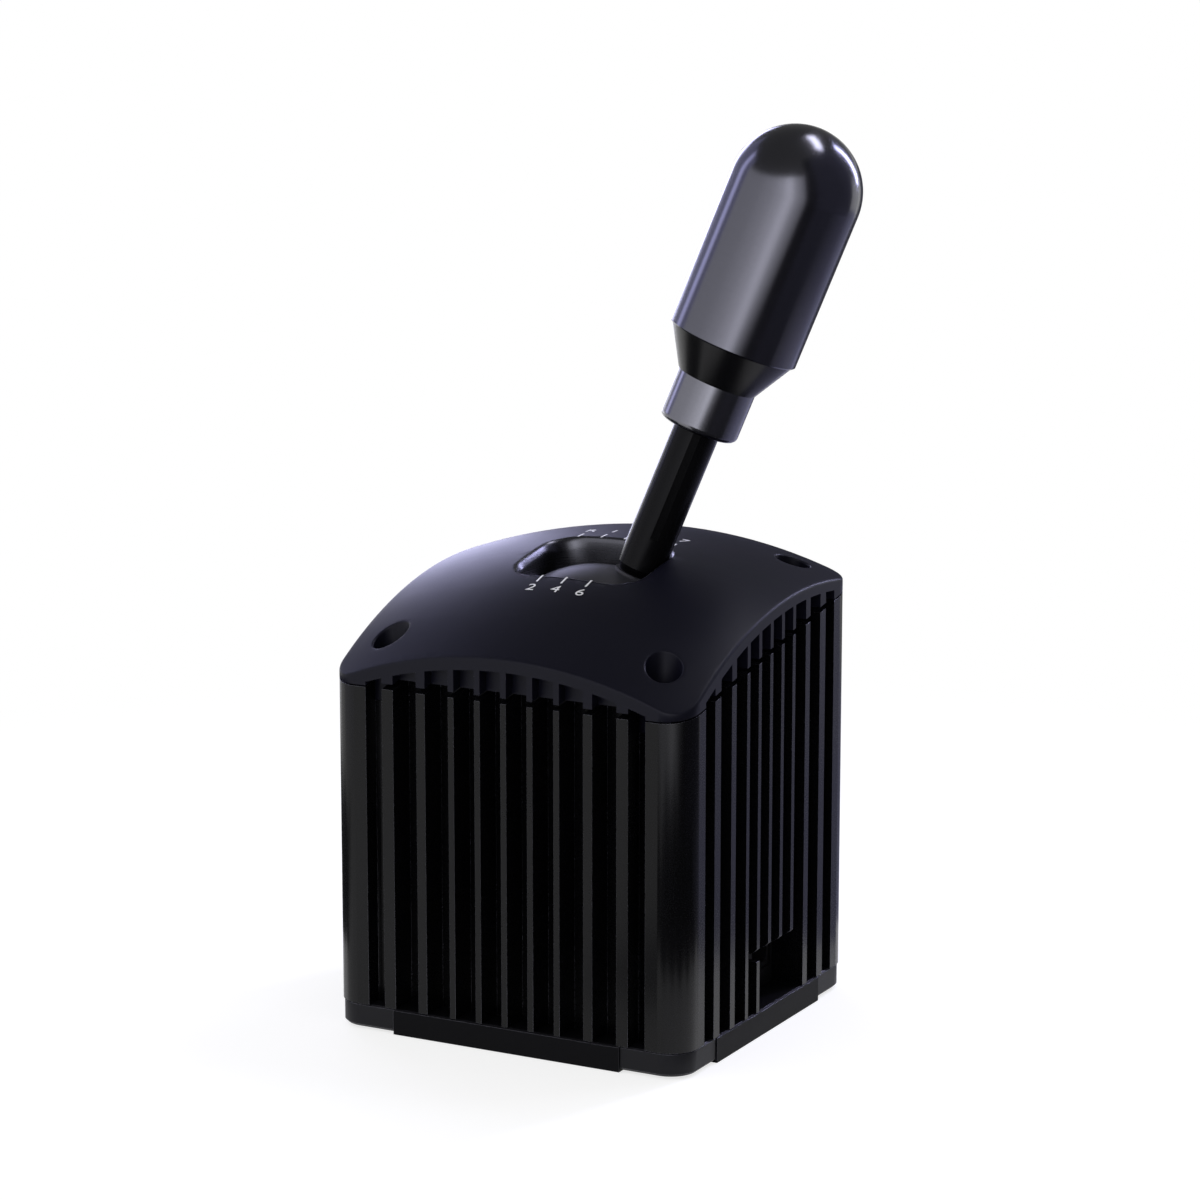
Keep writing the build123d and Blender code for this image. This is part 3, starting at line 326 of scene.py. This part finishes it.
def turned(name, color, roughness, lines=3000.0, depth=0.002 * MM, stretch=0.0, axis=None):
    """Turned or drawn metal with tool lines round an axis, which is the stick's unless one is given."""
    material, tree, surface = new_material(name)
    direction = axis or stick_axis()
    surface.inputs["Metallic"].default_value = 1.0
    surface.inputs["Anisotropic"].default_value = stretch
    use_group(tree, surface, TURNED, depth, Color=(*color, 1), Axis_Point=tuple(pivot),
              Axis=tuple(direction), Line_Scale=lines, Roughness=roughness)
    if stretch:
        arrow = new_node(tree, "ShaderNodeCombineXYZ", X=direction.x, Y=direction.y, Z=direction.z)
        turn = new_node(tree, "ShaderNodeVectorTransform", _vector_type="VECTOR",
                        _convert_from="OBJECT", _convert_to="WORLD")
        join(tree, arrow.outputs[0], turn.inputs[0])
        join(tree, turn.outputs[0], surface.inputs["Tangent"])
    return material


# Coated finishes: name, colour, roughness, specular level, grain, its depth, cloud.
# Turned finishes: name, colour, roughness, tool lines, their depth
FINISHES = {
    "cap_black": coated("satin_cap_paint", (0.004, 0.004, 0.0095), 0.42, 0.16, 3200.0, 0.0015 * MM),
    "housing_black": coated("anodised_ribs", (0.002, 0.002, 0.0025), 0.27, 0.2, 2600.0, 0.004 * MM),
    "base_black": coated("cast_base_plate", (0.0035, 0.0035, 0.0045), 0.5, 0.06, 1500.0, 0.02 * MM, 0.3),
    "pad_black": coated("cast_corner_pad", (0.005, 0.005, 0.007), 0.48, 0.18, 1500.0, 0.015 * MM, 0.3),
    "screw_black": turned("black_screw_steel", (0.05, 0.05, 0.055), 0.35, 2500.0, axis=UP),
    "panel_black": coated("port_panel_plastic", (0.004, 0.004, 0.005), 0.5, 0.15),
    "board": coated("board_varnish", (0.01, 0.06, 0.03), 0.3, 0.5, 1500.0, 0.002 * MM, 0.4),
    "socket_black": coated("socket_plastic", (0.008, 0.008, 0.009), 0.3, 0.3),
    "frame_metal": turned("milled_aluminium", (0.62, 0.63, 0.65), 0.32, 1800.0, axis=UP),
    "bearing_steel": turned("bearing_steel", (0.6, 0.6, 0.62), 0.15, 5000.0, axis=ALONG_SELECT),
    "rubber": coated("stop_rubber", (0.02, 0.02, 0.02), 0.8, 0.3, 1500.0, 0.01 * MM),
    "spring_steel": turned("spring_wire", (0.5, 0.5, 0.52), 0.25, 6000.0, axis=ALONG_SELECT),
    "magnet": turned("nickel_plate", (0.7, 0.68, 0.64), 0.12, 4000.0, axis=ALONG_SELECT),
    "steel": turned("turned_steel", (0.45, 0.45, 0.47), 0.25, 4000.0),
    "stick_black": coated("satin_stick_black", (0.003, 0.003, 0.0035), 0.22, 0.1, 3500.0, 0.001 * MM),
    "shield_grey": coated("shield_plastic", (0.035, 0.035, 0.042), 0.42, 0.3, 2500.0, 0.003 * MM),
    "knob_metal": turned("brushed_knob", (0.11, 0.11, 0.125), 0.2, 4200.0, 0.0006 * MM, stretch=0.5),
    "collar_black": turned("brushed_collar", (0.16, 0.16, 0.175), 0.2, 4200.0, 0.0006 * MM, stretch=0.5),
    "cone_black": coated("gloss_cone_black", (0.003, 0.003, 0.0035), 0.22, 0.25, 3000.0, 0.0005 * MM),
    "brass": turned("turned_brass", (0.55, 0.4, 0.14), 0.25, 3500.0),
}
# Gate wall in a lighter metal than the cap's black paint: a lit copy of the paint, painted sheen, which
# also reflects the lamps
GATE_SHEEN_METAL = turned("gate_wall_sheen_metal", (0.09, 0.09, 0.1), 0.28, 2500.0, 0.001 * MM, axis=UP)

for row in frame["record"]["subparts"]:
    data = nodes[row["node"]].data
    data.materials.clear()
    data.materials.append(FINISHES[row["material_slot"]])

# Broken edges, as on milled and coated metal, in a lighter metal than the black body: painted highlight
# lines along the edges, which also reflect the lamps. The weld joins the imported triangles
EDGE_SHEEN_METAL = coated("edge_sheen_metal", (0.2, 0.2, 0.23), 0.35, 0.5, 2600.0, 0.002 * MM, metallic=1.0)
WELD_REACH = 0.001 * MM
EDGE_SEGMENTS = 2
EDGE_ANGLE = radians(40)
EDGE_WIDTHS = {"housing": 0.3 * MM, "top_cap": 0.3 * MM, "base_plate": 0.3 * MM}
for place in ("front_left", "front_right", "rear_left", "rear_right"):
    EDGE_WIDTHS[f"corner_pad_{place}"] = 0.35 * MM
for name, width in EDGE_WIDTHS.items():
    node = nodes[name]
    weld = node.modifiers.new("weld", "WELD")
    weld.merge_threshold = WELD_REACH
    edges = node.modifiers.new("broken_edges", "BEVEL")
    edges.width = width
    edges.segments = EDGE_SEGMENTS
    edges.limit_method = "ANGLE"
    edges.angle_limit = EDGE_ANGLE
    edges.harden_normals = True
    # The bevels get the lighter metal with the painted edge highlights
    node.data.materials.append(EDGE_SHEEN_METAL)
    edges.material = len(node.data.materials) - 1


def shortening_spring(name, joint_name):
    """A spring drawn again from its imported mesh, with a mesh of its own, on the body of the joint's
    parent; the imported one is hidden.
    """
    joint = joints[joint_name]
    spring = bpy.data.objects.new(name + "_coils", nodes[name].data)
    spring.matrix_world = nodes[name].matrix_world
    bpy.context.scene.collection.objects.link(spring)
    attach(spring, joint["parent"])
    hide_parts(name)
    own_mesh(spring)


shortening_spring("finger_spring", "finger")
shortening_spring("detent_spring", "detent")


# Gear marks on the cap

def lay_on_crown(bm):
    """Lays a flat mesh on the crown and gives it the thickness of a print."""
    bmesh.ops.triangulate(bm, faces=bm.faces)
    bmesh.ops.subdivide_edges(bm, edges=bm.edges, cuts=PRINT_CUTS, use_grid_fill=True)
    for vertex in bm.verts:
        vertex.co = crown_point(vertex.co.x, vertex.co.y) + UP * PRINT_LIFT
    raised = bmesh.ops.extrude_face_region(bm, geom=bm.faces[:])
    for item in raised["geom"]:
        if isinstance(item, bmesh.types.BMVert):
            item.co.z += PRINT_THICKNESS


def far_column(column):
    """Place of a mark of the far row, which stands a little to the right."""
    return column * FAR_COLUMN_STEP + FAR_SHIFT


def tick_marks():
    """Short lines from the gate towards the gear numbers."""
    bm = bmesh.new()
    spans = [(column * COLUMN_STEP, NEAR_TICK_ENDS) for column in NEAR_NUMBERS.values()]
    spans += [(far_column(column), FAR_TICK_ENDS) for column in FAR_NUMBERS.values()]
    for middle, (low, high) in spans:
        corners = [(middle - TICK_WIDTH / 2, low), (middle + TICK_WIDTH / 2, low),
                   (middle + TICK_WIDTH / 2, high), (middle - TICK_WIDTH / 2, high)]
        bm.faces.new([bm.verts.new((x, y, 0)) for x, y in corners])
    lay_on_crown(bm)
    return bm


def gear_numbers():
    """Plain gear numbers and the R beside the ticks."""
    bm = bmesh.new()
    rows = [(text, column * COLUMN_STEP, NEAR_NUMBERS_Y) for text, column in NEAR_NUMBERS.items()]
    rows += [(text, far_column(column), FAR_NUMBERS_Y) for text, column in FAR_NUMBERS.items()]
    for text, x, y in rows:
        curve = bpy.data.curves.new("number", "FONT")
        curve.body = text
        curve.size = NUMBER_HEIGHT
        curve.align_x = "CENTER"
        curve.align_y = "CENTER"
        letter = bpy.data.objects.new("number", curve)
        bpy.context.scene.collection.objects.link(letter)
        bpy.context.view_layer.update()
        shape = letter.evaluated_get(bpy.context.evaluated_depsgraph_get()).to_mesh()
        known = len(bm.verts)
        bm.from_mesh(shape)
        bm.verts.ensure_lookup_table()
        for vertex in bm.verts[known:]:
            vertex.co.x *= NUMBER_WIDENING
            vertex.co += Vector((x, y, 0))
        bpy.data.objects.remove(letter)
        bpy.data.curves.remove(curve)
    lay_on_crown(bm)
    return bm


# Loops of the gate wall from the crown down: half width, half depth, corner radius and drop.
# Its lower edge lies on a sphere just outside the dust shield
GATE_LOOPS = [(22.35 * MM, 17.75 * MM, 10.7 * MM, -0.05 * MM),
              (21.95 * MM, 17.25 * MM, 10.3 * MM, 0.12 * MM),
              (21.55 * MM, 16.95 * MM, 9.9 * MM, 0.55 * MM),
              (20.5 * MM, 16.85 * MM, 9.8 * MM, 1.7 * MM)]
GATE_BOTTOM = (19.5 * MM, 16.7 * MM, 9.7 * MM)
SHIELD_CLEAR_RADIUS = 36.1 * MM
CORNER_STEPS = 12
SIDE_STEPS = 10
WALL_STEPS = 4


def round_loop(half_x, half_y, corner):
    """Points of a rounded rectangle in plan, each corner followed by a straight side."""
    corners = []
    for quarter in range(4):
        side_x = 1 if quarter in (0, 3) else -1
        side_y = 1 if quarter in (0, 1) else -1
        turns = [radians(90) * (quarter + step / CORNER_STEPS) for step in range(CORNER_STEPS + 1)]
        corners.append([Vector((side_x * (half_x - corner) + corner * cos(turn),
                                side_y * (half_y - corner) + corner * sin(turn))) for turn in turns])
    points = []
    for arc, following in zip(corners, corners[1:] + corners[:1]):
        points += arc
        points += [arc[-1].lerp(following[0], step / SIDE_STEPS) for step in range(1, SIDE_STEPS)]
    return points


def gate_wall():
    """Wall of the gate opening: rounded edge, then slanted with the stick down to the dust shield."""
    bm = bmesh.new()
    loops = []
    for half_x, half_y, corner, drop in GATE_LOOPS:
        loops.append([crown_point(x, y) - UP * drop for x, y in round_loop(half_x, half_y, corner)])
    bottom = []
    for x, y in round_loop(*GATE_BOTTOM):
        bottom.append(Vector((x, y, pivot.z + sqrt(SHIELD_CLEAR_RADIUS**2 - x**2 - y**2))))
    upper = loops[-1]
    for step in range(1, WALL_STEPS + 1):
        loops.append([top.lerp(low, step / WALL_STEPS) for top, low in zip(upper, bottom)])
    rows = [[bm.verts.new(point) for point in loop] for loop in loops]
    for row, following in zip(rows, rows[1:]):
        for here in range(len(row)):
            after = (here + 1) % len(row)
            bm.faces.new((row[here], following[here], following[after], row[after])).smooth = True
    return bm


# The gate wall wears the painted-sheen metal
add_piece("gate_wall", gate_wall(), GATE_SHEEN_METAL)

PRINT = coated("white_print", (0.85, 0.85, 0.87), 0.5, 0.5, 6000.0, 0.002 * MM, 0.1)
add_piece("gear_ticks", tick_marks(), PRINT)
add_piece("gear_numbers", gear_numbers(), PRINT)


# Studio: floor, lamps, world and camera

FLOOR_RADIUS = 3.0
FLOOR_SEGMENTS = 96
FLOOR_DROP = 0.2 * MM
FLOOR_SHADE = (0.86, 0.86, 0.86)
FLOOR_GLOW = 0.45

# Radii between which the floor turns white, and its share of white inside the smaller one
FLOOR_CLEAR = (0.1, 0.45)
FLOOR_LEAST = 0.5

# Soft light of the world; in reflections, the span over which its white horizon fades, and what stays
WORLD_LEVEL = 0.45
HORIZON = (0.02, 0.2)
CEILING_LEVEL = 0.15

# Cards, colours and the point that the lamps face
CARD_SHADE = (0.05, 0.05, 0.05)
CARD_STEPS = 8
MATTE_ROUGHNESS = 0.9
WHITE = (1.0, 1.0, 1.0, 1.0)
VIOLET = (0.65, 0.65, 1.0)
PALE = (0.93, 0.93, 1.0)
AIM = (0.0, 0.0, 0.13)

# Name, stops of turn and glow, profile of radius and height, colour of the glow
CARDS = [
    ("front_glow", [(-165, 0.95), (-124, 1.05), (-98, 1.4), (-80, 2.0), (-71, 2.8), (-65, 2.8),
                    (-58, 1.7), (-50, 1.2), (-43, 0.8), (-40, 0.05)],
     [(0.62, 0.085), (0.62, 0.62)], PALE),
    ("side_glow", [(-220, 0.6), (-190, 0.6), (-187, 3.2), (-179, 3.2), (-175, 0.5), (-163, 0.95)],
     [(0.76, 0.28), (0.76, 0.9)], VIOLET),
    ("stick_edge_glow", [(-222, 2.2), (-196, 2.2)], [(0.5, 0.1), (0.5, 0.24)], PALE),
    ("front_skirt", [(-95, 0.0), (-40, 0.0)], [(0.12, 0.001), (0.6, 0.001), (0.6, 0.085)], PALE),
    ("right_wall", [(-40, 0.0), (-27, 0.0), (-20, 0.08), (45, 0.12)], [(0.6, 0.001), (0.6, 1.2)], VIOLET),
    ("front_right_floor", [(-40, 0.0), (10, 0.0)], [(0.12, 0.001), (0.45, 0.001)], VIOLET),
    ("right_floor", [(10, 0.1), (45, 0.5), (130, 0.5)], [(0.12, 0.001), (0.42, 0.001)], VIOLET),
    ("right_far_floor", [(-40, 0.03), (10, 0.08), (45, 0.3), (70, 0.6), (100, 0.8)],
     [(0.43, 0.001), (0.8, 0.001)], VIOLET),
    ("left_floor", [(-215, 0.0), (-145, 0.0)], [(0.12, 0.001), (0.5, 0.001)], PALE),
    ("back_wall", [(76, 0.05), (123, 0.05)], [(0.6, 0.001), (0.6, 0.3)], VIOLET),
]

# Name, place, width, height, radiance, colour, seen in reflections
LAMPS = [
    ("left_wide_box", (-0.62, -0.78, 0.62), 1.3, 0.8, 1.1, (0.97, 0.97, 1.0), False),
    ("back_left_box", (-0.88, 0.8, 0.32), 0.8, 0.64, 4.6, VIOLET, True),
    ("top_right_strip", (0.22, 0.36, 0.95), 0.4, 0.14, 12.0, (0.85, 0.85, 1.0), True),
    ("back_right_strip", (0.36, 0.85, 0.55), 0.1, 0.6, 25.0, VIOLET, True),
]


def matte(name, color):
    """A stage material without shine; returns material, tree and surface node."""
    material, tree, surface = new_material(name)
    surface.inputs["Base Color"].default_value = (*color, 1)
    surface.inputs["Roughness"].default_value = MATTE_ROUGHNESS
    surface.inputs["Specular IOR Level"].default_value = 0.0
    return material, tree, surface


def floor():
    """Pale floor that turns into the white background away from the object."""
    material, tree, surface = matte("pale_floor", FLOOR_SHADE)
    white = new_node(tree, "ShaderNodeEmission", Color=WHITE, Strength=1.0)
    place = new_node(tree, "ShaderNodeTexCoord").outputs["Object"]
    length = new_node(tree, "ShaderNodeVectorMath", _operation="LENGTH")
    join(tree, place, length.inputs[0])
    fade = ramp(tree, length.outputs["Value"], *FLOOR_CLEAR, FLOOR_LEAST, 1.0)
    rays = new_node(tree, "ShaderNodeLightPath")
    seen = maths(tree, "MAXIMUM", rays.outputs["Is Camera Ray"], rays.outputs["Is Glossy Ray"])
    seen = maths(tree, "MAXIMUM", seen, rays.outputs["Is Transmission Ray"])
    surface.inputs["Emission Color"].default_value = WHITE
    join(tree, maths(tree, "MULTIPLY", seen, FLOOR_GLOW), surface.inputs["Emission Strength"])
    mix = new_node(tree, "ShaderNodeMixShader")
    join(tree, maths(tree, "MULTIPLY", fade, seen), mix.inputs[0])
    join(tree, surface.outputs[0], mix.inputs[1])
    join(tree, white.outputs[0], mix.inputs[2])
    join(tree, mix.outputs[0], tree.nodes["Material Output"].inputs["Surface"])
    bm = bmesh.new()
    bmesh.ops.create_circle(bm, cap_ends=True, segments=FLOOR_SEGMENTS, radius=FLOOR_RADIUS)
    plane = mesh_object("floor", bm, material)
    plane.location.z = -FLOOR_DROP


def lamp(name, place, width, height, radiance, color, mirrored):
    """Soft box at a place, turned towards the object."""
    data = bpy.data.lights.new(name, "AREA")
    data.shape = "RECTANGLE"
    data.size = width
    data.size_y = height
    data.color = color
    data.energy = radiance * width * height * pi
    box = bpy.data.objects.new(name, data)
    box.location = place
    box.rotation_euler = (Vector(AIM) - Vector(place)).to_track_quat("-Z", "Y").to_euler()
    box.visible_camera = False
    box.visible_glossy = mirrored
    bpy.context.scene.collection.objects.link(box)


def studio_card(name, stops, profile, color):
    """Bent card round the object, seen in reflections only.

    Stops list turns about the object, in degrees, with the glow there; profile lists radius and height.
    """
    bm = bmesh.new()
    glow = bm.verts.layers.float.new("glow")
    rows = []
    for (turn_from, glow_from), (turn_to, glow_to) in zip(stops, stops[1:]):
        for step in range(CARD_STEPS):
            share = step / (CARD_STEPS - 1)
            turn = radians(turn_from + (turn_to - turn_from) * share)
            row = [bm.verts.new((radius * cos(turn), radius * sin(turn), height))
                   for radius, height in profile]
            for vertex in row:
                vertex[glow] = glow_from + (glow_to - glow_from) * share
            rows.append(row)
    for row, following in zip(rows, rows[1:]):
        for edge in range(len(profile) - 1):
            bm.faces.new((row[edge], following[edge], following[edge + 1], row[edge + 1]))
    material, tree, surface = matte(name, CARD_SHADE)
    surface.inputs["Emission Color"].default_value = (*color, 1)
    level = new_node(tree, "ShaderNodeAttribute", _attribute_name="glow")
    join(tree, level.outputs["Fac"], surface.inputs["Emission Strength"])
    card = mesh_object(name, bm, material)
    card.visible_camera = False
    card.visible_diffuse = False
    card.visible_transmission = False
    card.visible_shadow = False


def world():
    """White to the camera; in reflections white at the horizon under a dark ceiling; soft light."""
    scene_world = bpy.data.worlds.new("studio_world")
    scene_world.use_nodes = True
    tree = scene_world.node_tree
    back = tree.nodes["Background"]
    back.inputs["Color"].default_value = WHITE
    rays = new_node(tree, "ShaderNodeLightPath")
    mirrored = maths(tree, "MAXIMUM", rays.outputs["Is Glossy Ray"], rays.outputs["Is Transmission Ray"])
    place = new_node(tree, "ShaderNodeTexCoord").outputs["Generated"]
    split = new_node(tree, "ShaderNodeSeparateXYZ")
    join(tree, place, split.inputs[0])
    ceiling = ramp(tree, split.outputs["Z"], *HORIZON, 1.0, CEILING_LEVEL)
    soft = maths(tree, "MULTIPLY", maths(tree, "SUBTRACT", 1.0, mirrored), WORLD_LEVEL)
    level = maths(tree, "ADD", maths(tree, "MULTIPLY", mirrored, ceiling), soft)
    join(tree, maths(tree, "MAXIMUM", level, rays.outputs["Is Camera Ray"]), back.inputs["Strength"])
    bpy.context.scene.world = scene_world


floor()
for card in CARDS:
    studio_card(*card)
world()
for box_light in LAMPS:
    lamp(*box_light)

camera_data = bpy.data.cameras.new("camera")
camera_data.lens = CAMERA_LENS
camera_data.sensor_width = SENSOR_WIDTH
camera = bpy.data.objects.new("camera", camera_data)
camera.location = CAMERA_PLACE
camera.rotation_euler = (radians(90 - CAMERA_DOWN), 0, radians(CAMERA_AZIMUTH))
bpy.context.scene.collection.objects.link(camera)
bpy.context.scene.camera = camera
bpy.context.scene.view_settings.view_transform = "Standard"
